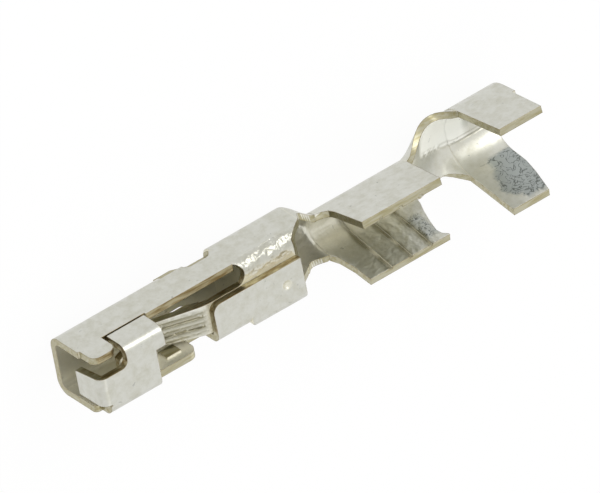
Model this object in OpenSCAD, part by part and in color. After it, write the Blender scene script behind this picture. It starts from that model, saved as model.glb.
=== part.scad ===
// Socket contact for a square post, stamped and folded from one strip of tinned copper alloy.
// +X runs from the mouth to the wire end and +Z is the open side of the two crimp barrels.
// The origin is the centre of the mouth, on the axis of the post. All lengths are in millimetres.

/* [Sheet] */
// Thickness of the strip
sheet_t = 0.2; // [0.15:0.01:0.22]
// Outer radius of the two bends along the base
base_bend_r = 0.36; // [0.3:0.01:0.4]
// Outer radius of the bends along the roof
roof_bend_r = 0.28; // [0.24:0.01:0.32]
// Gap between cut edges that face each other
seam_gap = 0.06; // [0.04:0.01:0.08]
// Gap between layers that are folded over each other
fold_gap = 0.02; // [0.01:0.01:0.04]

/* [Post] */
// Side of the square post that the mouth takes
post_side = 0.64; // [0.6:0.01:0.66]
// Clearance over the post, between the base and the front flap
post_clearance = 0.1; // [0.06:0.01:0.14]
// How far the spring stands in the way of the post
post_bite = 0.24; // [0.16:0.01:0.26]

/* [Front box] */
// Width over the side walls
box_w = 1.72; // [1.66:0.02:1.8]
// Height from the base to the strap's top
box_h = 2; // [1.9:0.02:2.1]
// Length of the strap's roof
strap_len = 1.8; // [1.6:0.05:1.9]
// How much longer the strap is on the side where it folds down
strap_step = 0.3; // [0.2:0.05:0.35]
// Length of the notch in the strap's front corner
notch_len = 0.92; // [0.86:0.01:1]
// Width of the notch, from the outer face of the side wall
notch_w = 0.56; // [0.5:0.01:0.6]
// Height above the base of the long edge of the slotted side wall
slot_edge_h = 1.22; // [1.16:0.01:1.26]
// Height above the base of the rounded tongue beside the notch
tongue_h = 1.82; // [1.7:0.02:1.86]
// Radius of the tongue's corners
tongue_r = 0.24; // [0.15:0.01:0.26]
// Width of the front flap at its free edge
flap_w = 0.72; // [0.6:0.02:0.76]
// Distance from the mouth to the end of the middle wall
middle_wall_end = 3.24; // [3.1:0.02:3.4]
// Height above the base of the middle wall
middle_wall_h = 1.6; // [1.5:0.02:1.64]
// Radius of the middle wall's rear corner
middle_wall_r = 0.3; // [0.2:0.02:0.4]
// Height above the base of the wall beside the open gap
gap_wall_h = 0.94; // [0.8:0.02:1]

/* [Contact spring] */
// Distance from the mouth to the spring's contact line
contact_x = 2.42; // [2.3:0.02:2.5]
// Distance from the mouth to the spring's raised tip
tip_x = 1.04; // [1:0.02:1.2]
// Distance from the mouth to the bend where the spring leaves the rear box
spring_bend_x = 3.82; // [3.78:0.01:3.9]
// Width of the spring at the rear box
spring_w = 0.88; // [0.8:0.02:0.9]
// Width of the spring at its tip
spring_tip_w = 0.6; // [0.5:0.02:0.66]
// Width of each groove pressed along the spring
groove_w = 0.09; // [0.06:0.01:0.1]
// Depth of the grooves
groove_depth = 0.06; // [0.04:0.01:0.08]

/* [Stop lance] */
// Distance from the mouth to the lance's free end
lance_x = 3.4; // [3.36:0.01:3.5]
// Length of the part of the lance that lies below the base
lance_flat = 0.52; // [0.4:0.02:0.56]
// Length of the slope that joins it to the base
lance_slope = 0.4; // [0.36:0.02:0.44]
// Width of the lance, up to the cut under the slotted wall
lance_w = 1; // [0.8:0.02:1]
// How far the lance stands below the base
lance_drop = 0.2; // [0.14:0.01:0.24]

/* [Rear box] */
// Distance from the mouth to the front shoulder of the rear box
rear_x = 4.9; // [4.86:0.02:5]
// Distance from the mouth to the end of the rear box
rear_end = 7.18; // [7.1:0.02:7.3]
// How far the rear box reaches below the front box
rear_drop = 0.09; // [0.04:0.01:0.12]
// Height of the rear roof above the front box's base
rear_h = 1.62; // [1.56:0.01:1.66]
// Distance from the mouth to the front edge of the rear roof
roof_x = 3.87; // [3.84:0.01:3.95]
// Length of the rear roof
roof_len = 2.78; // [2.6:0.02:2.86]
// Width of the rear roof, from the outer face of its wall
roof_w = 1.14; // [1.1:0.02:1.2]
// Distance from the mouth to the start of the shoulder beside the rear roof
shoulder_x = 4.96; // [4.92:0.02:5.2]
// How far the shoulder stands out past the plain wall
shoulder = 0.17; // [0.1:0.01:0.22]
// Radius of the punch that dimples the rear roof
dimple_r = 0.25; // [0.2:0.01:0.3]
// Depth of the dimple
dimple_depth = 0.05; // [0.03:0.01:0.06]

/* [Wire barrel] */
// Radius of the wire strands' seat
wire_r = 0.4; // [0.36:0.01:0.42]
// Height of the wire barrel's underside above the front box's base
wire_lift = 0.22; // [0.16:0.01:0.26]
// Distance from the mouth to the front of the wire barrel
wire_x = 7.76; // [7.7:0.02:7.8]
// Length of the wire barrel at its root
wire_len = 2.94; // [2.8:0.02:3]
// Height of the wire wings' tips above the front box's base
wire_tip_h = 2.45; // [2.2:0.05:2.6]
// Angle at which each wire wing leans outward
wire_flare = 11.5; // [8:0.5:13]
// Number of serrations pressed across the wire barrel
serration_count = 3; // [2:1:4]
// Distance between serrations
serration_pitch = 0.63; // [0.5:0.01:0.65]
// Width of a serration
serration_w = 0.1; // [0.06:0.01:0.12]
// Depth of a serration
serration_depth = 0.05; // [0.03:0.01:0.06]

/* [Insulation barrel] */
// Radius of the insulation's seat
insulation_r = 0.9; // [0.84:0.02:0.94]
// How far the insulation barrel reaches below the front box's base
insulation_drop = 0.32; // [0.26:0.01:0.34]
// Distance from the mouth to the front of the insulation barrel
insulation_x = 12.5; // [12.4:0.05:12.6]
// Length of the insulation barrel
insulation_len = 1.38; // [1.1:0.02:1.4]
// Height of the insulation wings' tips above the front box's base
insulation_tip_h = 2.42; // [2.2:0.02:2.6]
// Angle at which each insulation wing leans outward
insulation_flare = 7; // [4:0.5:9]
// Length of the tab left where the contact was cut from its carrier strip
tab_len = 0.08; // [0.04:0.01:0.12]
// Half of that tab's width on the plain side
tab_half = 0.6; // [0.4:0.02:0.8]
// Height of the tab's edge on the slotted side, above the barrel's axis
tab_rise = 0.4; // [0.2:0.02:0.5]

/* [Hidden] */
$fn = 48;
tin = [0.78, 0.78, 0.74];
// Overshoot of a cut past the metal that it removes
over = 0.5;
// Overlap that joins two pieces of the strip
lap = 0.01;
// Step that keeps the ends of the neck and the web inside the metal that they join
join_step = 0.012;
half_w = box_w / 2;
mouth_h = post_side + post_clearance;
mouth_axis_h = sheet_t + mouth_h / 2;
wall_foot_h = base_bend_r;
strap_under = box_h - sheet_t;
notch_y = half_w - notch_w;
roof_y = roof_w - half_w;
roof_end = roof_x + roof_len;
spring_edge_y = roof_y;
flange_top = rear_h - sheet_t - fold_gap;
flange_end_y = sheet_t + fold_gap - half_w;
wire_out_r = wire_r + sheet_t;
wire_axis_h = wire_lift + wire_out_r;
wire_end = wire_x + wire_len;
insulation_out_r = insulation_r + sheet_t;
insulation_axis_h = insulation_out_r - insulation_drop;
insulation_end = insulation_x + insulation_len;
post_top_h = sheet_t + post_clearance / 2 + post_side;
contact_h = post_top_h - post_bite + sheet_t;
tip_h = 1.42;
spring_root_x = rear_x + 0.5;
// Shares of the spring's slope between which the grooves and the slit run
groove_span = [0.2, 0.92];
slit_span = [0.42, 0.62];
// Tongue and strap on the slotted side
tongue_x = 0.06;
tongue_end = notch_len - 0.12;
strap_flange_end = strap_len + strap_step;
flange_foot_h = slot_edge_h;
notch_r = 0.2;
flap_bend_r = 0.25;
flap_y0 = 0.13 + sheet_t - half_w;
mouth_corner_h = 1.55;
// Cut under the slotted wall, beside the lance
lance_y = half_w - base_bend_r + 0.05;
cut_low_h = 0.27;
cut_step_x = 4;
cut_end = rear_x - 0.06;
cut_h = 0.45;
cut_r = 0.2;
// Pad pressed into the inner face of the middle wall
pad_x = 2.45;
pad_len = 0.45;
pad_z = 0.95;
pad_w = 0.38;
pad_rise = 0.05;
// Foot of the shoulder's slope, its rear taper, and the place of the dimple
shoulder_foot_h = 0.94;
shoulder_taper = 0.3;
dimple_x = 6.13;
dimple_y = -0.29;
// Bend and slot of the rear flange
flange_bend_r = 0.34;
slot_end = rear_x + 0.2;
slot_r = norm([half_w - spring_edge_y, flange_top - slot_edge_h]) / 2;
rear_corner_r = 0.25;
// Height of the free edges along the neck and the web
neck_front_h = 0.95;
neck_low_at = 0.3;
// Lowest height and end height of the neck's edge on the slotted side, then on the plain side
neck_ends = [[0.68, 0.82], [0.84, 1.12]];
web_front_h = 0.82;
// Ends of the wings on the slotted side, then on the plain side.
// Each point holds the distance in from the end and the share of the height up to the tip.
wire_fronts = [
    [[0, 0], [0.18, 0.04], [0.31, 0.12], [0.35, 0.25], [0.35, 1]],
    [[0, 0], [0.12, 0.19], [0.21, 0.55], [0.25, 1]]
];
wire_rears = [
    [[0, 0], [0.12, 1]],
    [[0, 0], [0.06, 0.2], [0.17, 0.38], [0.27, 0.6], [0.34, 0.82], [0.3, 0.92], [0.18, 1]]
];
insulation_front = [[0, 0], [0.06, 1]];
insulation_rear = [[0, 0], [0.08, 0.4], [0.26, 1]];
web_wire_half = 0.92;
web_halves = [1.12, 0.97];
web_insulation_half = 1.6;
web_spread = 0.9;
web_wide_at = 0.4;
web_flare_at = 0.65;
web_margin = 0.04;
insulation_front_h = 0.66;
neck_steps = 12;
web_steps = 14;
bend_steps = 9;
corner_steps = 6;
corner_share = 0.16;
serration_shift = 0.06;

// Profile drawn across the contact, in Y and Z, and drawn out along X
module across(x0, x1) {
    translate([x0, 0, 0]) rotate([90, 0, 90]) linear_extrude(x1 - x0) children();
}

// Profile drawn from the side, in X and Z, and drawn out along Y
module sideways(y0, y1) {
    translate([0, y1, 0]) rotate([90, 0, 0]) linear_extrude(y1 - y0) children();
}

// Profile drawn from above, in X and Y, and drawn out along Z
module upward(z0, z1) {
    translate([0, 0, z0]) linear_extrude(z1 - z0) children();
}

module rect(x0, y0, x1, y1) {
    translate([x0, y0]) square([x1 - x0, y1 - y0]);
}

// Quarter of a bend in the strip, about the point y, z, on the sides that the two signs give
module bend(y, z, r, sy, sz) {
    translate([y, z]) intersection() {
        difference() {
            circle(r);
            circle(r - sheet_t);
        }
        rect(min(0, sy * r), min(0, sz * r), max(0, sy * r), max(0, sz * r));
    }
}

// Rectangle whose corner at x1, y1 is rounded
module rect_round(x0, y0, x1, y1, r) {
    rect(x0, y0, x1 - r, y1);
    rect(x0, y0, x1, y1 - r);
    translate([x1 - r, y1 - r]) circle(r);
}

// Rectangle whose two upper corners are rounded
module tongue_shape(x0, z0, x1, z1, r) {
    rect(x0, z0, x1, z1 - r);
    rect(x0 + r, z0, x1 - r, z1);
    translate([x0 + r, z1 - r]) circle(r);
    translate([x1 - r, z1 - r]) circle(r);
}

// Floor of a box with the two bends that lead up to its walls
module floor_profile(z) {
    rect(base_bend_r - half_w, z, half_w - base_bend_r, z + sheet_t);
    bend(half_w - base_bend_r, z + base_bend_r, base_bend_r, 1, -1);
    bend(base_bend_r - half_w, z + base_bend_r, base_bend_r, -1, -1);
}

// Share of a change that eases in and out while u goes from 0 to 1
function smooth(u) = u * u * (3 - 2 * u);
function between(a, b, u) = a + (b - a) * u;

// Half of a bent strip seen along X, from its free edge down to the middle of its floor.
// The bend turns through the angle a about the point c, z and ends in a straight margin.
function half_strip(c, z, r, a, margin) = concat(
    [[c + r * sin(a) + margin * cos(a), z - r * cos(a) + margin * sin(a)]],
    [for (k = [0 : bend_steps])
        let (b = a * (1 - k / (bend_steps + 0.5)))
            [c + r * sin(b), z - r * cos(b)]]
);
function mirrored(points) = [for (p = points) [-p[0], p[1]]];
function backward(points) = [for (i = [len(points) - 1 : -1 : 0]) points[i]];

// Closed outline of the strip at x, down the outer face and back along the inner face.
// The inset draws it inside the strip's own faces and edges.
function strip_outline(x, c, floor_h, r, a, margins, inset) =
    let (
        z = floor_h + r,
        r_out = r - inset,
        r_in = r - sheet_t + inset,
        near_out = half_strip(c, z, r_out, a, margins[0] - inset),
        near_in = half_strip(c, z, r_in, a, margins[0] - inset),
        far_out = mirrored(half_strip(c, z, r_out, a, margins[1] - inset)),
        far_in = mirrored(half_strip(c, z, r_in, a, margins[1] - inset))
    )
    [for (p = concat(near_out, backward(far_out), far_in, backward(near_in))) [x, p[0], p[1]]];

// Triangles over one end of a lofted strip, between its outer and its inner face.
// The outline's points are numbered from start, and the two faces meet at its ends.
function end_cap(start, n) = [for (i = [0 : n / 2 - 2])
    for (t = [[i, i + 1, n - 1 - i], [i + 1, n - 2 - i, n - 1 - i]])
        [for (j = t) start + j]];

// Solid through a list of strip outlines that have equally many points
module loft(outlines) {
    n = len(outlines[0]);
    last = len(outlines) - 1;
    points = [for (o = outlines) for (p = o) p];
    front = [for (t = end_cap(0, n)) backward(t)];
    back = end_cap(last * n, n);
    lower = [for (i = [0 : last - 1]) for (j = [0 : n - 1])
        [i * n + j, i * n + (j + 1) % n, (i + 1) * n + j]];
    upper = [for (i = [0 : last - 1]) for (j = [0 : n - 1])
        [i * n + (j + 1) % n, (i + 1) * n + (j + 1) % n, (i + 1) * n + j]];
    polyhedron(points, concat(front, back, lower, upper));
}

// Path through corner points whose inner corners are rounded by a share of each leg
function corner(p, q, r) = [for (k = [0 : corner_steps])
    let (
        u = k / corner_steps,
        a = between(q, p, corner_share),
        b = between(q, r, corner_share)
    )
    (1 - u) * (1 - u) * a + 2 * u * (1 - u) * q + u * u * b];
function rounded_path(points) = concat(
    [points[0]],
    [for (i = [1 : len(points) - 2]) for (p = corner(points[i - 1], points[i], points[i + 1])) p],
    [points[len(points) - 1]]
);

// Side view of a strip whose upper face follows the path and which is t thick
module path_strip(path, t) {
    last = len(path) - 1;
    under = [for (i = [0 : last])
        let (d = path[min(i + 1, last)] - path[max(i - 1, 0)])
            path[i] + t / norm(d) * [d[1], -d[0]]];
    polygon(concat(path, backward(under)));
}

// Front part of the base with the bends that lead up to both walls
module front_floor() {
    across(0, rear_x + lap) floor_profile(0);
}

// Opening round the lance, which takes part of the base bend on the slotted side with it
module lance_window() {
    x0 = lance_x - seam_gap;
    upward(-over, sheet_t + over)
        rect(x0, lance_y - lance_w - seam_gap / 2, lance_x + lance_flat + lance_slope, lance_y + lap);
    sideways(lance_y, half_w + over) {
        rect(x0, -over, cut_end - cut_r, cut_low_h);
        tongue_shape(cut_step_x, -over, cut_end, cut_h, cut_r);
    }
}

// Lance that is cut from the base and set down by two bends
module stop_lance() {
    root = lance_x + lance_flat + lance_slope;
    sideways(lance_y - lance_w, lance_y) polygon([
        [lance_x, -lance_drop],
        [lance_x + lance_flat, -lance_drop],
        [root, 0],
        [root + lance_slope, 0],
        [root + lance_slope, sheet_t],
        [root - sheet_t / 4, sheet_t],
        [lance_x + lance_flat - sheet_t / 4, sheet_t - lance_drop],
        [lance_x, sheet_t - lance_drop]
    ]);
}

// Side wall with the tongue, the recess for the strap and the long free edge
module slotted_wall() {
    sideways(half_w - sheet_t, half_w) difference() {
        union() {
            rect(0, wall_foot_h, rear_x + lap, slot_edge_h);
            tongue_shape(tongue_x, wall_foot_h, tongue_end, tongue_h, tongue_r);
        }
        rect(tongue_end, flange_foot_h - seam_gap, strap_flange_end + seam_gap, slot_edge_h + over);
    }
}

// Opposite wall, which steps down from the strap to the open gap beside the spring
module plain_wall() {
    sideways(-half_w, sheet_t - half_w) {
        translate([sheet_t, 0]) mirror([1, 0])
            rect_round(-strap_len / 2, wall_foot_h, sheet_t, mouth_corner_h, roof_bend_r / 2);
        rect(sheet_t, wall_foot_h, strap_len, box_h - roof_bend_r);
        rect_round(strap_len - lap, wall_foot_h, middle_wall_end, middle_wall_h, middle_wall_r);
        rect(middle_wall_end - middle_wall_r, wall_foot_h, rear_x + lap, gap_wall_h);
        rect(roof_x, wall_foot_h, rear_x + lap, rear_h - roof_bend_r);
    }
    sideways(sheet_t - half_w - lap, sheet_t - half_w + pad_rise)
        rect(pad_x, pad_z, pad_x + pad_len, pad_z + pad_w);
}

// Strap over the roof with the flange that folds down into the slotted wall's recess
module strap() {
    upward(strap_under, box_h) difference() {
        rect(flap_bend_r, roof_bend_r - half_w, strap_flange_end, half_w - roof_bend_r);
        mirror([0, 1]) translate([flap_bend_r - over, 0])
            rect_round(0, -half_w, notch_len + over - flap_bend_r, -notch_y, notch_r);
        rect(strap_len, -half_w, strap_flange_end + over, notch_y);
    }
    across(sheet_t, strap_len) bend(roof_bend_r - half_w, box_h - roof_bend_r, roof_bend_r, -1, 1);
    across(notch_len, strap_flange_end) {
        bend(half_w - roof_bend_r, box_h - roof_bend_r, roof_bend_r, 1, 1);
        rect(half_w - sheet_t, flange_foot_h, half_w, box_h - roof_bend_r);
    }
}

// Flap that folds down from the strap's front edge and narrows the mouth
module front_flap() {
    intersection() {
        sideways(flap_y0, notch_y) {
            translate([flap_bend_r, box_h - flap_bend_r]) intersection() {
                difference() {
                    circle(flap_bend_r);
                    circle(flap_bend_r - sheet_t);
                }
                rect(-flap_bend_r, 0, 0, flap_bend_r);
            }
            rect(0, sheet_t + mouth_h, sheet_t, box_h - flap_bend_r);
        }
        across(-over, flap_bend_r + over) polygon([
            [flap_y0, sheet_t + mouth_h],
            [flap_y0 + flap_w, sheet_t + mouth_h],
            [notch_y, box_h - flap_bend_r],
            [notch_y, box_h],
            [flap_y0, box_h]
        ]);
    }
}

// Spring that runs forward from the rear box and dips to press on the post
module contact_spring() {
    path = rounded_path([
        [tip_x, tip_h],
        [contact_x, contact_h],
        [spring_bend_x, flange_top],
        [spring_root_x, flange_top]
    ]);
    middle = spring_edge_y - spring_w / 2;
    difference() {
        intersection() {
            sideways(-half_w, half_w) path_strip(path, sheet_t);
            upward(0, box_h) polygon([
                [tip_x, middle - spring_tip_w / 2],
                [spring_bend_x, spring_edge_y - spring_w],
                [spring_root_x, spring_edge_y - spring_w],
                [spring_root_x, spring_edge_y],
                [spring_bend_x, spring_edge_y],
                [tip_x, middle + spring_tip_w / 2]
            ]);
        }
        for (share = [1 / 3, 2 / 3]) spring_groove(spring_edge_y - share * spring_w, groove_depth);
        spring_slit(spring_edge_y - spring_w * 2 / 3);
    }
}

// Point on the straight slope of the spring's upper face, a share of the way up
function on_slope(share) = between([contact_x, contact_h], [spring_bend_x, flange_top], share);

// Groove pressed along the spring's slope at y
module spring_groove(y, depth) {
    sideways(y - groove_w / 2, y + groove_w / 2) polygon([
        on_slope(groove_span[0]) - [0, depth],
        on_slope(groove_span[1]) - [0, depth],
        on_slope(groove_span[1]) + [0, over],
        on_slope(groove_span[0]) + [0, over]
    ]);
}

// Short slit through the spring at y
module spring_slit(y) {
    sideways(y - groove_w / 2, y + groove_w / 2) polygon([
        on_slope(slit_span[0]) - [0, over],
        on_slope(slit_span[1]) - [0, over],
        on_slope(slit_span[1]) + [0, over],
        on_slope(slit_span[0]) + [0, over]
    ]);
}

// Slotted wall behind the slot, which bends over the top as the root of the spring
module rear_flange() {
    difference() {
        across(rear_x, rear_end) {
            rect(half_w - sheet_t, wall_foot_h - rear_drop, half_w, flange_top - flange_bend_r);
            bend(half_w - flange_bend_r, flange_top - flange_bend_r, flange_bend_r, 1, 1);
            rect(flange_end_y, flange_top - sheet_t, half_w - flange_bend_r, flange_top);
        }
        rear_trim();
    }
    across(slot_end - slot_r - lap, rear_x + lap) {
        rect(half_w - sheet_t, wall_foot_h, half_w, flange_top - flange_bend_r);
        bend(half_w - flange_bend_r, flange_top - flange_bend_r, flange_bend_r, 1, 1);
        rect(flange_end_y, flange_top - sheet_t, half_w - flange_bend_r, flange_top);
    }
}

// Cut that rounds the slot's end over the bend between wall and flange
module slot_cut() {
    translate([0, (half_w + spring_edge_y) / 2, (slot_edge_h + flange_top) / 2])
        rotate([-atan2(flange_top - slot_edge_h, half_w - spring_edge_y), 0, 0])
        upward(-slot_r, slot_r + over) {
            rect(strap_len, -slot_r, slot_end - slot_r, slot_r);
            translate([slot_end - slot_r, 0]) circle(slot_r);
        }
}

// Slope that takes both walls down behind the rear roof
module rear_trim() {
    sideways(-half_w - over, half_w + over) polygon([
        [roof_end, flange_top + over],
        [roof_end, flange_top - sheet_t / 4],
        [rear_end, neck_front_h],
        [rear_end + over, neck_front_h],
        [rear_end + over, flange_top + over]
    ]);
}

// Roof of the rear box, which comes from the plain wall and closes over the flange
module rear_roof() {
    difference() {
        upward(rear_h - sheet_t, rear_h) mirror([1, 0]) rect_round(
            -roof_end, roof_bend_r - half_w, -roof_x, roof_y, rear_corner_r);
        translate([dimple_x, dimple_y, rear_h + dimple_r - dimple_depth]) sphere(dimple_r);
    }
    across(roof_x, shoulder_x)
        bend(roof_bend_r - half_w, rear_h - roof_bend_r, roof_bend_r, -1, 1);
}

// Side of the rear roof that stands out past the plain wall and slopes back into it
module roof_shoulder() {
    bend_h = rear_h - roof_bend_r;
    edge_y = -half_w - shoulder;
    intersection() {
        across(shoulder_x - lap, roof_end) {
            rect(edge_y + roof_bend_r, rear_h - sheet_t, roof_bend_r - half_w + lap, rear_h);
            bend(edge_y + roof_bend_r, bend_h, roof_bend_r, -1, 1);
            polygon([
                [edge_y, bend_h],
                [-half_w, shoulder_foot_h - lap],
                [sheet_t - half_w, shoulder_foot_h - lap],
                [edge_y + sheet_t, bend_h]
            ]);
        }
        upward(0, rear_h + over) polygon([
            [shoulder_x - lap, -half_w],
            [shoulder_x + shoulder, edge_y],
            [roof_end - shoulder_taper, edge_y],
            [roof_end, edge_y + shoulder / 2],
            [roof_end, 0],
            [shoulder_x - lap, 0]
        ]);
    }
}

// Floor and plain wall of the rear box
module rear_box() {
    across(rear_x, rear_end) floor_profile(-rear_drop);
    difference() {
        sideways(-half_w, sheet_t - half_w) {
            rect(rear_x, wall_foot_h - rear_drop, rear_end, shoulder_foot_h);
            rect(rear_x, wall_foot_h, shoulder_x, rear_h - roof_bend_r);
            rect(roof_end, wall_foot_h, rear_end, rear_h - roof_bend_r);
        }
        rear_trim();
    }
}

// Height of the neck's free edge, which dips after the rear box and rises to the wire barrel
function neck_edge_h(u, low, end) = u < neck_low_at
    ? between(neck_front_h, low, smooth(u / neck_low_at))
    : between(low, end, smooth((u - neck_low_at) / (1 - neck_low_at)));

// Outline of the neck at the share u of its length
function neck_outline(x, u, inset) =
    let (
        s = smooth(u),
        r = between(base_bend_r, wire_out_r, s),
        floor_h = between(-rear_drop, wire_lift, s),
        a = between(90, 90 - wire_flare, s),
        margins = [for (h = neck_ends)
            (neck_edge_h(u, h[0], h[1]) - floor_h - r + r * cos(a)) / sin(a)]
    )
    strip_outline(x, between(half_w - base_bend_r, 0, s), floor_h, r, a, margins, inset);

// Neck that turns the flat floor and its walls into the round wire barrel
module neck() {
    loft(concat(
        [for (x = [rear_end - lap, rear_end]) neck_outline(x, 0, join_step)],
        [for (k = [1 : neck_steps - 1])
            let (u = k / neck_steps) neck_outline(between(rear_end, wire_x, u), u, 0)],
        [for (x = [wire_x, wire_x + lap]) neck_outline(x, 1, join_step)]
    ));
}

// Outline of the web at the share u of its length
function web_outline(x, u, inset) =
    let (
        r = between(wire_out_r, insulation_out_r, u) + web_spread * pow(sin(180 * u), 2),
        widths = [for (w = web_halves) between(web_wire_half, w, min(1, u / web_wide_at))
            + (web_insulation_half - w) * pow(max(0, (u - web_flare_at) / (1 - web_flare_at)), 2)],
        floor_h = between(wire_lift, -insulation_drop, smooth(u)),
        a = (min(widths) - web_margin) / r * 180 / PI,
        margins = [for (w = widths) w - min(widths) + web_margin]
    )
    strip_outline(x, 0, floor_h, r, a, margins, inset);

// Web that opens out between the wire barrel and the insulation barrel
module web() {
    loft(concat(
        [for (x = [wire_end - lap, wire_end]) web_outline(x, 0, join_step)],
        [for (k = [1 : web_steps - 1])
            let (u = k / web_steps) web_outline(between(wire_end, insulation_x, u), u, 0)],
        [for (x = [insulation_x, insulation_x + lap]) web_outline(x, 1, join_step)]
    ));
}

// Point on a barrel's wing, at the distance r from its middle plane and h above its root
function wing_point(r, h, flare) = [r * cos(flare) + h * sin(flare), h * cos(flare) - r * sin(flare)];

// Cross-section of an open crimp barrel between two radii, with wings that lean outward
module barrel_profile(axis_h, r_in, r_out, flare, wing) {
    outer = [for (p = [[r_out, 0], [r_out, wing], [r_in, wing]]) wing_point(p[0], p[1], flare)];
    inner = [for (h = [0, wing + over]) wing_point(r_in, h, flare)];
    translate([0, axis_h]) difference() {
        union() {
            circle(r_out);
            polygon(concat(outer, backward(mirrored(outer))));
        }
        circle(r_in);
        polygon(concat(inner, backward(mirrored(inner))));
    }
}

// Cut along the end of a wing, whose points lie inward of x and between the heights h0 and h1
module wing_cut(side, x, inward, h0, h1, points) {
    y = side * (half_w + wire_tip_h) / 2;
    last = points[len(points) - 1];
    sideways(min(0, 2 * y), max(0, 2 * y)) polygon([
        [x - inward * over, h0],
        for (p = points) [x + inward * p[0], between(h0, h1, p[1])],
        [x + inward * last[0], h1 + over],
        [x - inward * over, h1 + over]
    ]);
}

module wire_barrel() {
    wing = (wire_tip_h - wire_axis_h) / cos(wire_flare) + wire_out_r * tan(wire_flare);
    difference() {
        across(wire_x, wire_end)
            barrel_profile(wire_axis_h, wire_r, wire_out_r, wire_flare, wing);
        for (i = [0 : serration_count - 1]) serration(i);
        for (k = [0, 1]) {
            wing_cut(1 - 2 * k, wire_x, 1, neck_ends[k][1], wire_tip_h, wire_fronts[k]);
            wing_cut(1 - 2 * k, wire_end, -1, web_front_h, wire_tip_h, wire_rears[k]);
        }
    }
}

// Shallow groove across the inside of the wire barrel
module serration(i) {
    x = wire_x + wire_len / 2 + serration_shift + (i - (serration_count - 1) / 2) * serration_pitch;
    across(x - serration_w / 2, x + serration_w / 2) barrel_profile(
        wire_axis_h, wire_r - sheet_t / 2, wire_r + serration_depth, wire_flare, 0.75 * wire_tip_h);
}

// Barrel for the insulation, with the stub of the tab that held the contact to its carrier strip
module insulation_barrel() {
    wing = (insulation_tip_h - insulation_axis_h) / cos(insulation_flare)
        + insulation_out_r * tan(insulation_flare);
    tab_h = insulation_axis_h + tab_rise;
    difference() {
        across(insulation_x, insulation_end) barrel_profile(
            insulation_axis_h, insulation_r, insulation_out_r, insulation_flare, wing);
        wing_cut(1, insulation_x, 1, insulation_front_h, insulation_tip_h, insulation_front);
        wing_cut(-1, insulation_end, -1, tab_h, insulation_tip_h, insulation_rear);
    }
    across(insulation_end - lap, insulation_end + tab_len) intersection() {
        barrel_profile(
            insulation_axis_h, insulation_r, insulation_out_r, insulation_flare, insulation_r);
        rect(-tab_half, -insulation_out_r, insulation_out_r + tab_rise, tab_h);
    }
}

module contact() {
    color(tin) translate([0, 0, -mouth_axis_h]) {
        difference() {
            union() {
                front_floor();
                slotted_wall();
            }
            lance_window();
        }
        stop_lance();
        plain_wall();
        strap();
        front_flap();
        contact_spring();
        difference() {
            rear_flange();
            slot_cut();
        }
        rear_box();
        rear_roof();
        roof_shoulder();
        neck();
        wire_barrel();
        web();
        insulation_barrel();
    }
}

contact();
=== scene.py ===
"""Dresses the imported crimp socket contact: a tin-plated, folded strip with sheared edges."""

import math

import bpy
import numpy as np
from mathutils import Matrix, Vector
from mathutils.bvhtree import BVHTree


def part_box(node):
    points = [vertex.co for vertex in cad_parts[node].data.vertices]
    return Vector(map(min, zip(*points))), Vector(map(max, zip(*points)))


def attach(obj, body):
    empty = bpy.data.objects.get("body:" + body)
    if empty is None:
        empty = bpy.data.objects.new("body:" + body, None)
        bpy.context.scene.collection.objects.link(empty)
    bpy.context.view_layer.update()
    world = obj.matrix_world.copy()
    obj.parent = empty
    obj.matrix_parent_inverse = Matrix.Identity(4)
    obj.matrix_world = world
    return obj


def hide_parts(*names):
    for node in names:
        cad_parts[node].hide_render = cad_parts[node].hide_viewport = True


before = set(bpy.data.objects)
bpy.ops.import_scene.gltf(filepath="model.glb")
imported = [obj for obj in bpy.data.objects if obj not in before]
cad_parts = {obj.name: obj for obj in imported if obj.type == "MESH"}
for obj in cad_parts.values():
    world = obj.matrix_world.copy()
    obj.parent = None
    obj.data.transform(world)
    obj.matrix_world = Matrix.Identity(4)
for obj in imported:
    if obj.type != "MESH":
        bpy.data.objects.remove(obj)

bl_info = {
    "name": "Crimp Socket Contact",
    "version": (1, 0, 0),
    "blender": (4, 5, 0),
    "location": "View3D > Sidebar > Contact",
    "description": "Builds the plated strip of a crimp socket contact and its stage",
    "category": "Add Mesh",
}

MM = 0.001
LOWEST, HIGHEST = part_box("contact")

# The photograph's view: 600 by 493 pixels, almost without perspective
TO_CAMERA = Vector((-0.4167, 0.5651, 0.7121))
IMAGE_UP = Vector((0.4518, 0.8084, -0.3772))
VIEW_CENTRE = Vector((7.165, -0.0375, 0.255)) * MM
VIEW_WIDTH = 15.0 * MM
CAMERA_DISTANCE = 200.0 * MM


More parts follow.
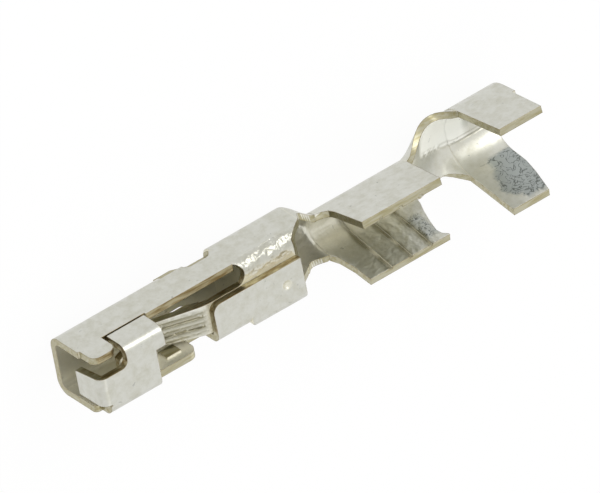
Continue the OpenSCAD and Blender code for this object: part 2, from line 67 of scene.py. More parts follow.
class ContactSettings(bpy.types.PropertyGroup):
    """Sizes and colours of the plated strip."""

    sheet: bpy.props.FloatProperty(
        name="Sheet", description="Thickness of the strip", default=0.2 * MM, unit="LENGTH", precision=5
    )
    edge_round: bpy.props.FloatProperty(
        name="Edge Round", description="Radius worn on every edge", default=0.03 * MM, unit="LENGTH", precision=5
    )
    smooth_angle: bpy.props.FloatProperty(
        name="Smooth Angle",
        description="Largest angle between two faces that still shade as one curve",
        default=math.radians(34),
        subtype="ANGLE",
    )
    fine_step: bpy.props.FloatProperty(
        name="Fine Step", description="Longest side of the mesh where the skin is worked", default=0.1 * MM, unit="LENGTH", precision=5
    )
    plain_step: bpy.props.FloatProperty(
        name="Plain Step", description="Longest side of the mesh on the plain walls", default=0.2 * MM, unit="LENGTH", precision=5
    )
    hair_step: bpy.props.FloatProperty(
        name="Hair Step", description="Tallest step that still shades as one skin", default=0.03 * MM, unit="LENGTH", precision=5
    )
    box_end: bpy.props.FloatProperty(
        name="Box End", description="How far the socket reaches from its mouth", default=7.4 * MM, unit="LENGTH", precision=5
    )
    tin: bpy.props.StringProperty(name="Tin", description="Colour of the tin plating", default="#CECEC6")
    tin_worn: bpy.props.StringProperty(name="Handled Tin", description="Colour where the plating is duller", default="#C0BFB2")
    # painted light: the colour that the folds take, brighter and yellower than the plating outside
    tin_fold: bpy.props.StringProperty(name="Painted Fold Light", description="Colour of the plating inside the folds", default="#ECE8D4")
    # painted reflection: a near-white colour for the glare on the web's far half, where the plating is also made more
    # matt
    matt: bpy.props.StringProperty(name="Matt Tin", description="Colour of the untouched matt plating on the web", default="#FBFBF3")
    smear: bpy.props.StringProperty(name="Dragged Tin", description="Colour of tin dragged over a sheared edge", default="#B5B19A")
    alloy: bpy.props.StringProperty(name="Bare Alloy", description="Colour of the alloy bared in streaks", default="#A19975")
    bare: bpy.props.StringProperty(name="Long Shear", description="Colour of the long shears, where most alloy shows", default="#A89F80")
    rim: bpy.props.StringProperty(name="Rim", description="Colour of the thin plating along an edge", default="#7F6E4A")
    galled: bpy.props.StringProperty(name="Galled Tin", description="Colour of plating that the forming tool has rubbed", default="#A2A7A4")
    drawn: bpy.props.StringProperty(name="Drawn Lines", description="Colour in the lines of the galled plating", default="#666A66")
    # painted shade, with some grime: the colour of the serrations, the spring, the scored lines and the bend behind the
    # slot
    shade_and_grime: bpy.props.StringProperty(name="Shade And Grime", description="Colour of what lies in the serrations", default="#8F8B74")


class StageSettings(bpy.types.PropertyGroup):
    """Floor, lamps and background."""

    floor: bpy.props.StringProperty(name="Floor", description="Colour of the floor", default="#F2F2F0")
    world: bpy.props.FloatProperty(name="Room Light", description="Strength of the even light all round", default=1.0, min=0)
    key: bpy.props.FloatProperty(name="Key Light", description="Power of the large lamp", default=0.022, min=0)
    fill: bpy.props.FloatProperty(name="Fill Light", description="Power of the small lamp", default=0.002, min=0)
    low: bpy.props.FloatProperty(name="Low Light", description="Power of the lamp behind the wire end", default=0.004, min=0)


def linear(text):
    """Linear colour of an sRGB hex value: each channel is divided by 12.92 below the toe, and else taken to 2.4."""
    s = np.array([int(text[i : i + 2], 16) for i in (1, 3, 5)]) / 255.0
    c = np.where(s <= 0.04045, s / 12.92, ((s + 0.055) / 1.055) ** 2.4)
    return (*c.tolist(), 1.0)


def add(tree, kind, links=(), **settings):
    """Adds a node. Settings name its properties, or its inputs by name or number; links are (input, output socket)."""
    node = tree.nodes.new(kind)
    for key, value in settings.items():
        key = key.replace("_", " ") if key.replace("_", " ") in node.inputs else key
        if key in node.inputs:
            node.inputs[key].default_value = value
        elif key.startswith("in") and key[2:].isdigit():
            node.inputs[int(key[2:])].default_value = value
        else:
            setattr(node, key, value)
    for key, socket in links:
        tree.links.new(socket, node.inputs[key])
    return node


def new_material(name):
    """An empty node material and its output."""
    material = bpy.data.materials.new(name)
    material.use_nodes = True
    material.node_tree.nodes.clear()
    return material, material.node_tree


def colour_mix(tree, share, low, high):
    """Blend of two colours, each a linear colour or a socket."""
    links = [("Factor", share)]
    settings = {"data_type": "RGBA"}
    for number, colour in ((6, low), (7, high)):
        if isinstance(colour, tuple):
            settings[f"in{number}"] = colour
        else:
            links.append((number, colour))
    return add(tree, "ShaderNodeMix", links, **settings).outputs[2]


def spread(tree, value, low, high, to_low=0.0, to_high=1.0):
    """Value taken from one range to another, held inside it."""
    return add(
        tree, "ShaderNodeMapRange", [("Value", value)], From_Min=low, From_Max=high, To_Min=to_low, To_Max=to_high
    ).outputs["Result"]


def painted(tree, name):
    """Value that the mesh carries under the name."""
    return add(tree, "ShaderNodeAttribute", attribute_name=name).outputs["Fac"]


def rounded_edges(tree, radius):
    """Normal that rolls over every edge within the radius, and how far it turns from the face along a sheared rim."""
    soft = add(tree, "ShaderNodeBevel", Radius=radius, samples=6).outputs["Normal"]
    face = add(tree, "ShaderNodeNewGeometry").outputs["Normal"]
    along = add(tree, "ShaderNodeVectorMath", [(0, soft), (1, face)], operation="DOT_PRODUCT").outputs["Value"]
    turned = spread(tree, along, 0.97, 0.85)
    return soft, add(tree, "ShaderNodeMath", [(0, turned), (1, painted(tree, "rim"))], operation="MULTIPLY").outputs[0]


def metal(name, tree, colour, rough, height, soft, strength, distance, links=()):
    """Metal with a grained surface."""
    bump = add(tree, "ShaderNodeBump", [("Height", height), ("Normal", soft)], Strength=strength, Distance=distance)
    links = [("Base Color", colour), ("Roughness", rough), ("Normal", bump.outputs["Normal"]), *links]
    shader = add(tree, "ShaderNodeBsdfPrincipled", links, Metallic=1.0)
    add(tree, "ShaderNodeOutputMaterial", [("Surface", shader.outputs["BSDF"])])


def tin_plated_strip(s):
    """Reflowed tin on a rolled copper alloy strip: a pale, faintly yellow metal, soft in its reflection and mottled."""
    material, tree = new_material("tin_plate_reflowed")
    place = add(tree, "ShaderNodeTexCoord").outputs["Object"]
    # soft mottle of the plating, about 0.25 mm across
    mottle = add(tree, "ShaderNodeTexNoise", [("Vector", place)], Scale=4000.0, Detail=5.0, Roughness=0.7).outputs["Fac"]
    # fine grain of the plating, drawn as coarse as 0.05 mm so that it shows
    grain = add(tree, "ShaderNodeTexNoise", [("Vector", place)], Scale=21000.0, Detail=3.0, Roughness=0.65).outputs["Fac"]
    soft, edge = rounded_edges(tree, s.edge_round)
    # small dents about 0.15 mm apart where the tool bent or crumpled the strip
    dents = add(tree, "ShaderNodeTexNoise", [("Vector", place)], Scale=6500.0, Detail=1.0, Roughness=0.5).outputs["Fac"]
    dents = add(tree, "ShaderNodeMath", [(0, dents)], operation="SUBTRACT", in1=0.5).outputs[0]
    dents = add(tree, "ShaderNodeMath", [(0, dents), (1, painted(tree, "dented"))], operation="MULTIPLY").outputs[0]
    soft = add(tree, "ShaderNodeBump", [("Height", dents), ("Normal", soft)], Strength=1.0, Distance=0.06 * MM).outputs["Normal"]
    plate = colour_mix(tree, spread(tree, mottle, 0.4, 0.7), linear(s.tin), linear(s.tin_worn))
    # painted light: in the folds, where the ambient occlusion is low, the plating is drawn brighter and yellower
    open_sky = add(tree, "ShaderNodeAmbientOcclusion", samples=6, only_local=True, Distance=0.9 * MM).outputs["AO"]
    plate = colour_mix(tree, spread(tree, open_sky, 0.55, 0.98), linear(s.tin_fold), plate)
    # painted reflection: the web's far half turns near white
    glare_painted = painted(tree, "matt")
    plate = colour_mix(tree, glare_painted, plate, linear(s.matt))
    # galled plating is a bluer, duller grey with dark drawn lines
    plate = colour_mix(tree, painted(tree, "galled"), plate, linear(s.galled))
    drawn = add(tree, "ShaderNodeTexNoise", [("Vector", place)], Scale=4200.0, Detail=2.0, Roughness=0.5, Distortion=1.6).outputs["Fac"]
    off = add(tree, "ShaderNodeMath", [(0, drawn)], operation="SUBTRACT", in1=0.5).outputs[0]
    off = add(tree, "ShaderNodeMath", [(0, off)], operation="ABSOLUTE").outputs[0]
    line = add(
        tree, "ShaderNodeMath", [(0, spread(tree, off, 0.042, 0.012)), (1, painted(tree, "drawn"))], operation="MULTIPLY"
    ).outputs[0]
    plate = colour_mix(tree, line, plate, linear(s.drawn))
    # painted shade, with some grime, in the serrations, on the spring, along the scored lines and on the bend behind
    # the slot
    plate = colour_mix(tree, painted(tree, "shade_and_grime"), plate, linear(s.shade_and_grime))
    # a few short dark nicks, drawn about 0.1 mm long so that they show
    nicks = add(tree, "ShaderNodeTexNoise", [("Vector", place)], Scale=5200.0, Detail=2.0, Roughness=0.6, Distortion=0.8).outputs["Fac"]
    plate = colour_mix(tree, spread(tree, nicks, 0.69, 0.76, 0.0, 0.55), plate, linear(s.drawn))
    # the plating thins to a golden line along the shear's edge
    colour = colour_mix(tree, edge, plate, linear(s.rim))
    # the plating is dullest in the folds
    rubbed = add(
        tree,
        "ShaderNodeMath",
        [(0, spread(tree, mottle, 0.3, 0.7, 0.14, 0.26)), (1, spread(tree, open_sky, 0.35, 0.95, 0.2, 0.14))],
        operation="ADD",
    )
    # the deeper inside, the more evenly the matt plating scatters light
    less = add(tree, "ShaderNodeMath", [(0, glare_painted)], operation="MULTIPLY", in1=0.65).outputs[0]
    sheen = add(tree, "ShaderNodeMath", [(0, spread(tree, open_sky, 0.5, 0.98, 0.35, 1.0)), (1, less)], operation="SUBTRACT", use_clamp=True)
    metal(material.name, tree, colour, rubbed.outputs[0], grain, soft, 0.25, 0.004 * MM, [("Metallic", sheen.outputs[0])])
    return material


def sheared_alloy(s):
    """Strip sheared after plating: the tin is dragged over the copper alloy, so it shows pale with golden streaks."""
    material, tree = new_material("copper_alloy_sheared")
    place = add(tree, "ShaderNodeTexCoord").outputs["Object"]
    # streaks left by the die along the strip, about 0.05 mm apart
    along = add(tree, "ShaderNodeMapping", [("Vector", place)], Scale=(0.15, 1.0, 1.0)).outputs["Vector"]
    streaks = add(tree, "ShaderNodeTexNoise", [("Vector", along)], Scale=11000.0, Detail=3.0, Roughness=0.6).outputs["Fac"]
    soft, edge = rounded_edges(tree, s.edge_round)
    drag = colour_mix(tree, spread(tree, streaks, 0.4, 0.66), linear(s.smear), linear(s.alloy))
    golden = colour_mix(tree, spread(tree, streaks, 0.42, 0.6), linear(s.bare), linear(s.rim))
    drag = colour_mix(tree, painted(tree, "bare"), drag, golden)
    colour = colour_mix(tree, edge, drag, linear(s.rim))
    metal(material.name, tree, colour, spread(tree, streaks, 0.3, 0.7, 0.3, 0.42), streaks, soft, 0.3, 0.005 * MM)
    return material


def merged(node):
    """Corners and triangles of a copy of a CAD node, with the corners that coincide made one."""
    mesh = node.data
    corners = np.zeros(len(mesh.vertices) * 3)
    mesh.vertices.foreach_get("co", corners)
    mesh.calc_loop_triangles()
    triangles = np.zeros(len(mesh.loop_triangles) * 3, np.int64)
    mesh.loop_triangles.foreach_get("vertices", triangles)
    corners = corners.reshape(-1, 3)
    _, first, same = np.unique(np.round(corners / (0.0002 * MM)), axis=0, return_index=True, return_inverse=True)
    triangles = same.reshape(-1)[triangles].reshape(-1, 3)
    whole = (
        (triangles[:, 0] != triangles[:, 1]) & (triangles[:, 1] != triangles[:, 2]) & (triangles[:, 2] != triangles[:, 0])
    )
    return corners[first], triangles[whole]


def face_normals(corners, triangles):
    """Cross product of two sides of each triangle: its unit normal and its area."""
    cross = np.cross(corners[triangles[:, 1]] - corners[triangles[:, 0]], corners[triangles[:, 2]] - corners[triangles[:, 0]])
    twice = np.linalg.norm(cross, axis=1)
    return cross / np.maximum(twice, 1e-18)[:, None], twice / 2


def heights(corners, triangles, areas):
    """Height of each triangle over its longest side: twice its area divided by that side."""
    ends = corners[triangles]
    return 2 * areas / np.linalg.norm(ends - np.roll(ends, -1, axis=1), axis=2).max(axis=1)


def neighbours(triangles):
    """Pairs of triangles that share a side, found by sorting the sides of all of them."""
    sides = np.sort(np.concatenate([triangles[:, [0, 1]], triangles[:, [1, 2]], triangles[:, [2, 0]]]), axis=1)
    owner = np.tile(np.arange(len(triangles)), 3)
    order = np.lexsort((sides[:, 1], sides[:, 0]))
    sides, owner = sides[order], owner[order]
    same = (sides[1:] == sides[:-1]).all(axis=1)
    return np.stack([owner[:-1][same], owner[1:][same]], axis=1)


def regions(count, pairs):
    """Numbers the groups of triangles that the pairs join: each takes the least number next to it until none changes."""
    label = np.arange(count)
    while True:
        least = label.copy()
        np.minimum.at(least, pairs[:, 0], label[pairs[:, 1]])
        np.minimum.at(least, pairs[:, 1], label[pairs[:, 0]])
        least = least[least]
        if (least == label).all():
            return label
        label = least


def metal_depth(corners, triangles, normals):
    """Length of the metal behind the middle of each triangle, along its normal."""
    tree = BVHTree.FromPolygons(corners.tolist(), triangles.tolist())
    middle = corners[triangles].mean(axis=1) - normals * (0.0005 * MM)
    hits = [tree.ray_cast(Vector(m), Vector(n)) for m, n in zip(middle.tolist(), (-normals).tolist())]
    return np.array([h[3] if h[3] is not None else 1.0 for h in hits])


def ribbons(corners, triangles, group, areas):
    """Width of the smooth ribbon that each triangle lies in: twice its area over the length of its border."""
    sides = np.concatenate([triangles[:, [0, 1]], triangles[:, [1, 2]], triangles[:, [2, 0]]])
    owner = np.tile(group, 3)
    key = np.sort(sides, axis=1) @ np.array([len(corners), 1])
    key = key * len(group) + owner
    _, first, times = np.unique(key, return_index=True, return_counts=True)
    border = first[times == 1]
    length = np.linalg.norm(corners[sides[border, 0]] - corners[sides[border, 1]], axis=1)
    around = np.bincount(owner[border], weights=length, minlength=len(group))
    area = np.bincount(group, weights=areas, minlength=len(group))
    return (2 * area / np.maximum(around, 1e-9))[group]


def smooth_normals(triangles, normals, areas, flat, angle, thin):
    """Normal at each triangle's corner: the sum of the normals round that corner that lie within the angle of its own, each weighted by the area of the flat region that it belongs to. A triangle on a hair-thin step takes the sum of all the others instead."""
    weight = np.where(thin, 1e-9, 1.0) * np.bincount(flat, weights=areas, minlength=len(flat))[flat]
    corner = triangles.reshape(-1)
    face = np.repeat(np.arange(len(triangles)), 3)
    order = np.argsort(corner, kind="stable")
    start = np.searchsorted(corner[order], np.arange(corner.max() + 2))
    size = np.diff(start)
    total = np.zeros((len(corner), 3))
    for step in range(size.max()):
        has = size[corner] > step
        other = face[order[start[corner[has]] + step]]
        own = face[has]
        near = ((normals[own] * normals[other]).sum(axis=1) > math.cos(angle)) | thin[own]
        total[has] += normals[other] * (weight[other] * near)[:, None]
    return unit(total).reshape(-1, 3, 3)


def unit(vectors):
    """The vectors divided by their lengths."""
    return vectors / np.maximum(np.linalg.norm(vectors, axis=-1), 1e-18)[..., None]


def worked(points, facing):
    """True where the tool worked the skin finely: the bend behind the slot, the spring, the rear roof's dimple, the neck, the wire barrel's inside and the insulation barrel's seat."""
    x, y, z = points.T / MM
    up = facing[:, 2] > 0.2
    bend = (x > 4.9) & (x < 7.2) & (y > 0.4) & (z > 0.4) & up
    roof = (x > 2.1) & (x < 6.6) & (np.abs(y) < 0.75) & (z > 0.0) & up
    neck = (x > 7.0) & (x < 10.8) & (facing[:, 1] > -0.1) & (facing[:, 2] > -0.1) & (y < 0.55)
    seat = (x > 11.4) & (x < 13.9) & (z < 0.0) & up
    return bend | roof | neck | seat


def refined(corners, triangles, shading, fine, plain):
    """Halves the longest side of every triangle until none is longer than the fine limit where the skin is worked, or than the plain limit elsewhere. A side is halved for both of its triangles at once, so the surface stays closed. Returns the new arrays and each triangle's parent."""
    parent = np.arange(len(triangles))
    while True:
        ends = np.stack([triangles, np.roll(triangles, -1, axis=1)], axis=2)
        length = np.linalg.norm(corners[ends[..., 0]] - corners[ends[..., 1]], axis=2)
        key = ends.min(axis=2) * len(corners) + ends.max(axis=2)
        name, side = np.unique(key, return_inverse=True)
        side = side.reshape(-1, 3)
        limit = np.where(worked(corners[triangles].mean(axis=1), shading.mean(axis=1)), fine, plain)
        wanted = (length >= length.max(axis=1, keepdims=True) * 0.999) & (length > limit[:, None])
        halved = np.zeros(len(name), bool)
        halved[side[wanted]] = True
        if not halved.any():
            return corners, triangles, shading, parent
        middle = np.full(len(name), -1)
        middle[halved] = len(corners) + np.arange(halved.sum())
        low, high = name[halved] // len(corners), name[halved] % len(corners)
        corners = np.concatenate([corners, (corners[low] + corners[high]) / 2])
        cut = halved[side]
        count = cut.sum(axis=1)
        # turn each triangle so that its first sides are the halved ones
        first = np.where(count == 1, cut.argmax(axis=1), np.where(count == 2, (~cut).argmax(axis=1) + 1, 0)) % 3
        turn = (first[:, None] + np.arange(3)) % 3
        v = np.take_along_axis(triangles, turn, axis=1)
        m = np.take_along_axis(middle[side], turn, axis=1)
        n = np.take_along_axis(shading, turn[..., None], axis=1)
        point = np.concatenate([v, m], axis=1)
        facing = np.concatenate([n, unit(n + np.roll(n, -1, axis=1))], axis=1)
        parts = {
            0: [(0, 1, 2)],
            1: [(0, 3, 2), (3, 1, 2)],
            2: [(3, 1, 4), (0, 3, 4), (0, 4, 2)],
            3: [(0, 3, 5), (3, 1, 4), (5, 4, 2), (3, 4, 5)],
        }
        pieces = [(np.flatnonzero(count == k), list(t)) for k, ts in parts.items() for t in ts]
        triangles = np.concatenate([point[rows][:, t] for rows, t in pieces])
        shading = np.concatenate([facing[rows][:, t] for rows, t in pieces])
        parent = np.concatenate([parent[rows] for rows, t in pieces])


def noise(points, size, seed):
    """Smooth noise from -1 to 1: random values on a lattice of cells of the size given along each axis, blended by the cubic 3u^2 - 2u^3 between the eight corners of the cell."""
    table = np.random.default_rng(seed).uniform(-1.0, 1.0, 4096)
    place = points / np.asarray(size)
    cell = np.floor(place).astype(np.int64)
    u = place - cell
    u = u * u * (3 - 2 * u)
    total = np.zeros(len(points))
    for corner in np.ndindex(2, 2, 2):
        at = (cell + corner) @ np.array([7919, 104729, 1299709]) % 4096
        total += table[at] * np.where(corner, u, 1 - u).prod(axis=1)
    return total


def within(value, low, high, soft):
    """1 between low and high, falling evenly to 0 over the width soft outside them."""
    return np.clip(np.minimum(value - low, high - value) / soft + 1, 0, 1)


def galled(points, facing):
    """Where the wings' inner faces were galled by the forming tool, as shares for the insulation and the wire barrel."""
    x, y, z = points.T
    inner = (facing[:, 1] > 0.4) & (y < -0.35)
    rough = 0.07 * noise(points, 0.2, 41)
    left = x + 0.47 * (z - 0.9) + rough
    foot = z - 1.5 * (x - 12.65) + rough
    big = within(left, 12.8, 20.0, 0.05) * within(foot, -9.0, 1.05, 0.08) * within(z + rough, 0.0, 1.7, 0.1)
    small = within(x + rough, 9.98, 10.34, 0.08) * within(z + rough, 0.9, 1.62, 0.1)
    return big * inner, small * inner


def scored(points):
    """Share and depth in mm of two lines that the forming tool scored along the insulation barrel's seat: they keep to a fixed y there, and turn across the web in front of it."""
    x, y, z = points.T
    path = y + 0.33 - 0.26 * np.clip(12.7 - x, 0, 1.3) ** 1.2 + 0.01 * noise(points, 0.3, 61)
    there = within(x, 11.6, 13.7, 0.15) * (z < 0.0)
    share = there * np.maximum(within(np.abs(path), 0.0, 0.012, 0.02), 0.6 * within(np.abs(path - 0.085), 0.0, 0.01, 0.02))
    return share, 0.01 * share


def wear(points, facing):
    """Height of the handled skin over the true surface, in mm: slow waves everywhere, ripples pressed across the bend behind the slot, folds drawn along the wire barrel's inner side, dents in the neck, and grooves where the wings are galled."""
    x, y, z = points.T
    height = 0.0026 * noise(points, 0.5, 11) + 0.0012 * noise(points, 0.16, 12)
    bend = within(x, 5.05, 7.05, 0.1) * within(y, 0.52, 0.9, 0.08) * (facing[:, 2] > 0.05) * (facing[:, 1] > 0.0)
    inside = within(x, 8.1, 10.4, 0.2) * (facing[:, 1] > 0.3) * (y < -0.2)
    neck = within(x, 7.3, 8.3, 0.15) * within(np.abs(y), 0.0, 0.62, 0.1) * (facing[:, 2] > 0.2)
    for share, tall, size, seed in ((bend, 0.014, 0.15, 13), (inside, 0.012, (0.16, 0.9, 0.9), 14), (neck, 0.014, 0.22, 15)):
        there = share > 0
        height[there] += tall * share[there] * noise(points[there], size, seed)
    # ribs pressed along the spring, and the dimple and dents of the rear roof
    spring = within(x, 2.25, 3.75, 0.15) * within(y, -0.52, 0.18, 0.06) * within(z, 0.1, 0.84, 0.05) * (facing[:, 2] > 0.6)
    height += 0.012 * spring * np.cos(2 * np.pi * y / 0.145)
    roof = within(x, 4.1, 6.5, 0.2) * within(y, -0.9, 0.2, 0.06) * (z > 0.9) * (facing[:, 2] > 0.6)
    there = roof > 0
    height[there] += 0.006 * roof[there] * noise(points[there], 0.33, 16)
    height -= scored(points)[1] * (facing[:, 2] > 0.3)
    height -= 0.04 * roof * np.exp(-((x - 6.13) ** 2 + (y + 0.29) ** 2) / 0.012)
    return height


def displaced(corners, triangles, shading):
    """The mesh pushed out along its normals by the height of the wear. Each shading normal leans back by the height's slope along the surface, taken between points 0.01 mm apart."""
    normal = np.stack([np.bincount(triangles.reshape(-1), weights=c, minlength=len(corners)) for c in shading.reshape(-1, 3).T])
    normal = unit(normal.T)
    points = corners / MM
    level = wear(points, normal)
    slope = np.stack([wear(points + 0.01 * axis, normal) - level for axis in np.eye(3)], axis=1) / 0.01
    facing = shading.reshape(-1, 3)
    slope = slope[triangles.reshape(-1)]
    slope -= (slope * facing).sum(axis=1, keepdims=True) * facing
    return corners + normal * level[:, None] * MM, unit(facing - slope), normal


def paint(thing, name, values):
    """Writes one value for each corner of the mesh, for a material to read."""
    thing.data.attributes.new(name, "FLOAT", "POINT").data.foreach_set("value", values.astype(np.float32))


def put_mesh(name, corners, faces, materials, slots, shading):
    """A mesh object from whole arrays, at the origin."""
    mesh = bpy.data.meshes.new(name)
    mesh.from_pydata(corners.tolist(), [], faces.tolist())
    for material in materials:
        mesh.materials.append(material)
    mesh.polygons.foreach_set("material_index", slots.astype(np.int32))
    mesh.polygons.foreach_set("use_smooth", np.ones(len(faces), bool))
    mesh.update()
    if shading is not None:
        mesh.normals_split_custom_set(shading.tolist())
    thing = bpy.data.objects.new(name, mesh)
    bpy.context.scene.collection.objects.link(thing)
    return thing


class CONTACT_OT_strip(bpy.types.Operator):
    """Plates the folded strip and bares its sheared edges"""

    bl_idname = "contact.strip"
    bl_label = "Plated Strip"

    def execute(self, context):
        s = context.scene.contact_settings
        corners, triangles = merged(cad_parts["contact"])
        normals, areas = face_normals(corners, triangles)
        pairs = neighbours(triangles)
        turn = (normals[pairs[:, 0]] * normals[pairs[:, 1]]).sum(axis=1)
        flat = regions(len(triangles), pairs[turn > math.cos(math.radians(0.5))])
        # a hair-thin step between two solids of the union belongs to neither
        behind_box = corners[triangles][:, :, 0].min(axis=1) > s.box_end
        hair = (heights(corners, triangles, areas) < s.hair_step) & (np.abs(normals[:, 0]) > 0.9) & behind_box
        curved = regions(len(triangles), pairs[(turn > math.cos(s.smooth_angle)) & ~hair[pairs].any(axis=1)])
        width = ribbons(corners, triangles, curved, areas) / s.sheet
        depth = metal_depth(corners, triangles, normals) / s.sheet
        # a skin has the sheet's thickness of metal behind it; a sheared edge is a ribbon about as wide as the sheet
        thin = hair | (width < 0.1)
        sheared = ~thin & (width < 1.3) & (((depth > 1.35) & (width > 0.45)) | (width > 0.8))
        shading = smooth_normals(triangles, normals, areas, flat, s.smooth_angle, thin)
        corners, triangles, shading, parent = refined(corners, triangles, shading, s.fine_step, s.plain_step)
        moved, shading, normal = displaced(corners, triangles, shading)
        strip = put_mesh(
            "plated_strip",
            moved,
            triangles,
            [tin_plated_strip(s), sheared_alloy(s)],
            sheared[parent].astype(int),
            shading,
        )
        # the plating is thin where a skin meets a sheared edge
        kinds = [np.bincount(triangles[sheared[parent] == kind].reshape(-1), minlength=len(corners)) > 0 for kind in (False, True)]
        paint(strip, "rim", kinds[0] & kinds[1])
        big, small = galled(corners / MM, normal)
        paint(strip, "galled", big + 0.6 * small)
        paint(strip, "drawn", big + small)
        x, y, z = corners.T / MM
        # painted shade on the bend behind the slot
        bent = within(x, 5.1, 7.0, 0.1) * within(y, 0.55, 0.82, 0.1) * (normal[:, 2] > 0.1)
        # painted shade, with some grime: darker in the serrations, over the spring and most between its ribs, along the
        # scored lines and on the bend behind the slot
        slid = x + 0.03 * noise(corners / MM, (0.5, 0.5, 0.22), 51)
        serration = within(np.abs((slid - 9.29 + 0.315) % 0.63 - 0.315), 0.0, 0.05, 0.09) * within(x, 8.4, 10.2, 0.05)
        serration *= np.clip(0.75 + 0.7 * noise(corners / MM, (0.2, 0.3, 0.3), 52), 0, 1) * (y < 0.1)
        ribs = within(x, 2.3, 3.7, 0.15) * within(y, -0.5, 0.16, 0.05) * within(z, 0.1, 0.84, 0.05) * (normal[:, 2] > 0.6)
        paint(strip, "shade_and_grime", serration * (normal[:, 1] > 0.3) + ribs * (0.6 - 0.35 * np.cos(2 * np.pi * y / 0.145)) + 0.5 * scored(corners / MM)[0] + 0.2 * bent)
        bend = within(x, 5.1, 7.0, 0.1) * within(y, 0.45, 0.85, 0.1) * (normal[:, 2] > 0.1) * (normal[:, 1] > -0.2)
        inside = within(x, 7.3, 10.4, 0.3) * within(normal[:, 1], -0.2, 1.0, 0.3) * (normal[:, 2] > -0.3) * within(y, -0.8, 0.35, 0.1)
        paint(strip, "dented", bend + 0.4 * inside)
        # on the web's far half, above the scored lines: a painted reflection, with the plating near white and made more
        # matt
        above = y + 0.36 - 0.26 * np.clip(12.7 - x, 0, 1.3) ** 1.2
        paint(strip, "matt", within(x, 11.5, 13.0, 0.08) * np.clip(above / 0.06, 0, 1) * (normal[:, 2] > 0.05) * (z < 1.0))
        # the longest shears bare the most alloy: along the slot, the notch and the rear roof
        paint(strip, "bare", within(x, 0.2, 6.7, 0.1) * within(z, 0.55, 1.5, 0.1) * within(y, -0.5, 0.9, 0.1))
        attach(strip, "root")
        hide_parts("contact")
        return {"FINISHED"}


def seen_or_mirrored(tree):
    """1 for a ray from the camera, or one that a mirror or glass sends on, and else 0."""
    path = add(tree, "ShaderNodeLightPath")
    first = add(
        tree, "ShaderNodeMath", [(0, path.outputs["Is Camera Ray"]), (1, path.outputs["Is Glossy Ray"])], operation="MAXIMUM"
    )
    return add(
        tree, "ShaderNodeMath", [(0, first.outputs[0]), (1, path.outputs["Is Transmission Ray"])], operation="MAXIMUM"
    ).outputs[0]


def floor_paper(s):
    """Matt white card: it scatters light evenly and takes a soft shadow."""
    material, tree = new_material("card_matt_white")
    matt = add(tree, "ShaderNodeBsdfDiffuse", Color=linear(s.floor), Roughness=0.0)
    white = add(tree, "ShaderNodeEmission", Color=(1.0, 1.0, 1.0, 1.0), Strength=1.0)
    share = add(tree, "ShaderNodeMath", [(0, seen_or_mirrored(tree))], operation="MULTIPLY", in1=0.94)
    both = add(
        tree, "ShaderNodeMixShader", [(0, share.outputs[0]), (1, matt.outputs[0]), (2, white.outputs[0])]
    )
    add(tree, "ShaderNodeOutputMaterial", [("Surface", both.outputs[0])])
    return material


def grid(columns, rows):
    """Quads of a grid of points numbered row by row."""
    at = np.arange((rows - 1) * columns).reshape(rows - 1, columns)[:, :-1].reshape(-1)
    return np.stack([at, at + 1, at + columns + 1, at + columns], axis=1)


def lamp(name, place, target, size, power):
    """A square soft box that faces the target."""
    light = bpy.data.lights.new(name, "AREA")
    light.size = size
    light.energy = power
    thing = bpy.data.objects.new(name, light)
    thing.location = place
    thing.rotation_euler = (Vector(target) - Vector(place)).to_track_quat("-Z", "Y").to_euler()
    bpy.context.scene.collection.objects.link(thing)
    return thing


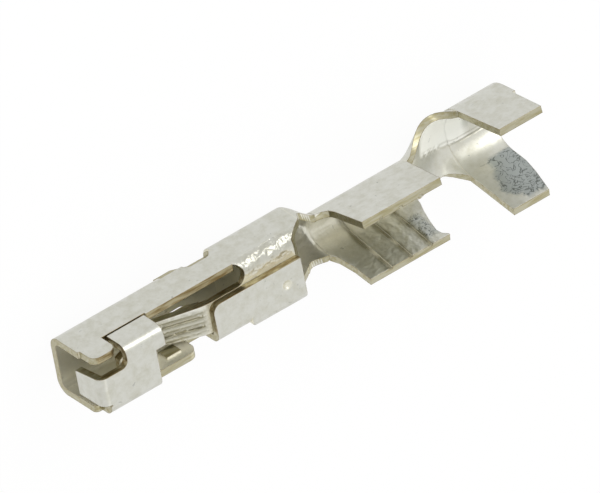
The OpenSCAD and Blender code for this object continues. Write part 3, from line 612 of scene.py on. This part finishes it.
class CONTACT_OT_stage(bpy.types.Operator):
    """Sets the floor, the lamps, the background and the camera"""

    bl_idname = "contact.stage"
    bl_label = "Stage"

    def execute(self, context):
        s = context.scene.contact_stage
        scene = context.scene
        scene.view_settings.view_transform = "Standard"
        across = np.linspace(-150.0, 150.0, 9) * MM
        y, x = np.meshgrid(across, across, indexing="ij")
        points = np.stack([x + VIEW_CENTRE.x, y, np.full_like(x, LOWEST.z)], axis=-1).reshape(-1, 3)
        quads = grid(9, 9)
        floor = put_mesh("floor", points, quads, [floor_paper(s)], np.zeros(len(quads)), None)
        world = bpy.data.worlds.new("white_room")
        scene.world = world
        world.use_nodes = True
        tree = world.node_tree
        tree.nodes.clear()
        light = add(tree, "ShaderNodeBackground", Color=(1.0, 1.0, 1.0, 1.0), Strength=s.world)
        white = add(tree, "ShaderNodeBackground", Color=(1.0, 1.0, 1.0, 1.0), Strength=1.0)
        both = add(tree, "ShaderNodeMixShader", [(0, seen_or_mirrored(tree)), (1, light.outputs[0]), (2, white.outputs[0])])
        add(tree, "ShaderNodeOutputWorld", [("Surface", both.outputs[0])])
        centre = VIEW_CENTRE
        lamp("key", centre + Vector((42, 71, 57)) * MM, centre, 50 * MM, s.key)
        lamp("fill", centre + Vector((-13, -56, 81)) * MM, centre, 36 * MM, s.fill)
        lamp("low", centre + Vector((66, -58, 26)) * MM, centre, 40 * MM, s.low)
        camera = bpy.data.cameras.new("camera")
        camera.type = "ORTHO"
        camera.ortho_scale = VIEW_WIDTH
        camera.clip_start = 10 * MM
        camera.clip_end = 2.0
        back = TO_CAMERA.normalized()
        right = IMAGE_UP.cross(back).normalized()
        up = back.cross(right)
        thing = bpy.data.objects.new("camera", camera)
        turned = Matrix((right, up, back)).transposed().to_4x4()
        thing.matrix_world = Matrix.Translation(centre + back * CAMERA_DISTANCE) @ turned
        scene.collection.objects.link(thing)
        scene.camera = thing
        return {"FINISHED"}


class CONTACT_PT_panel(bpy.types.Panel):
    """Lists the pieces and their settings"""

    bl_idname = "CONTACT_PT_panel"
    bl_label = "Crimp Socket Contact"
    bl_space_type = "VIEW_3D"
    bl_region_type = "UI"
    bl_category = "Contact"

    def draw(self, context):
        for settings, operator in (
            (context.scene.contact_settings, CONTACT_OT_strip),
            (context.scene.contact_stage, CONTACT_OT_stage),
        ):
            box = self.layout.box()
            for name in settings.__annotations__:
                box.prop(settings, name)
            box.operator(operator.bl_idname)


CLASSES = (ContactSettings, StageSettings, CONTACT_OT_strip, CONTACT_OT_stage, CONTACT_PT_panel)


def register():
    for cls in CLASSES:
        bpy.utils.register_class(cls)
    bpy.types.Scene.contact_settings = bpy.props.PointerProperty(type=ContactSettings)
    bpy.types.Scene.contact_stage = bpy.props.PointerProperty(type=StageSettings)


def unregister():
    del bpy.types.Scene.contact_stage
    del bpy.types.Scene.contact_settings
    for cls in reversed(CLASSES):
        bpy.utils.unregister_class(cls)


def main():
    """Builds every piece."""
    register()
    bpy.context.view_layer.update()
    bpy.ops.contact.strip()
    bpy.ops.contact.stage()


if __name__ == "__main__":
    main()
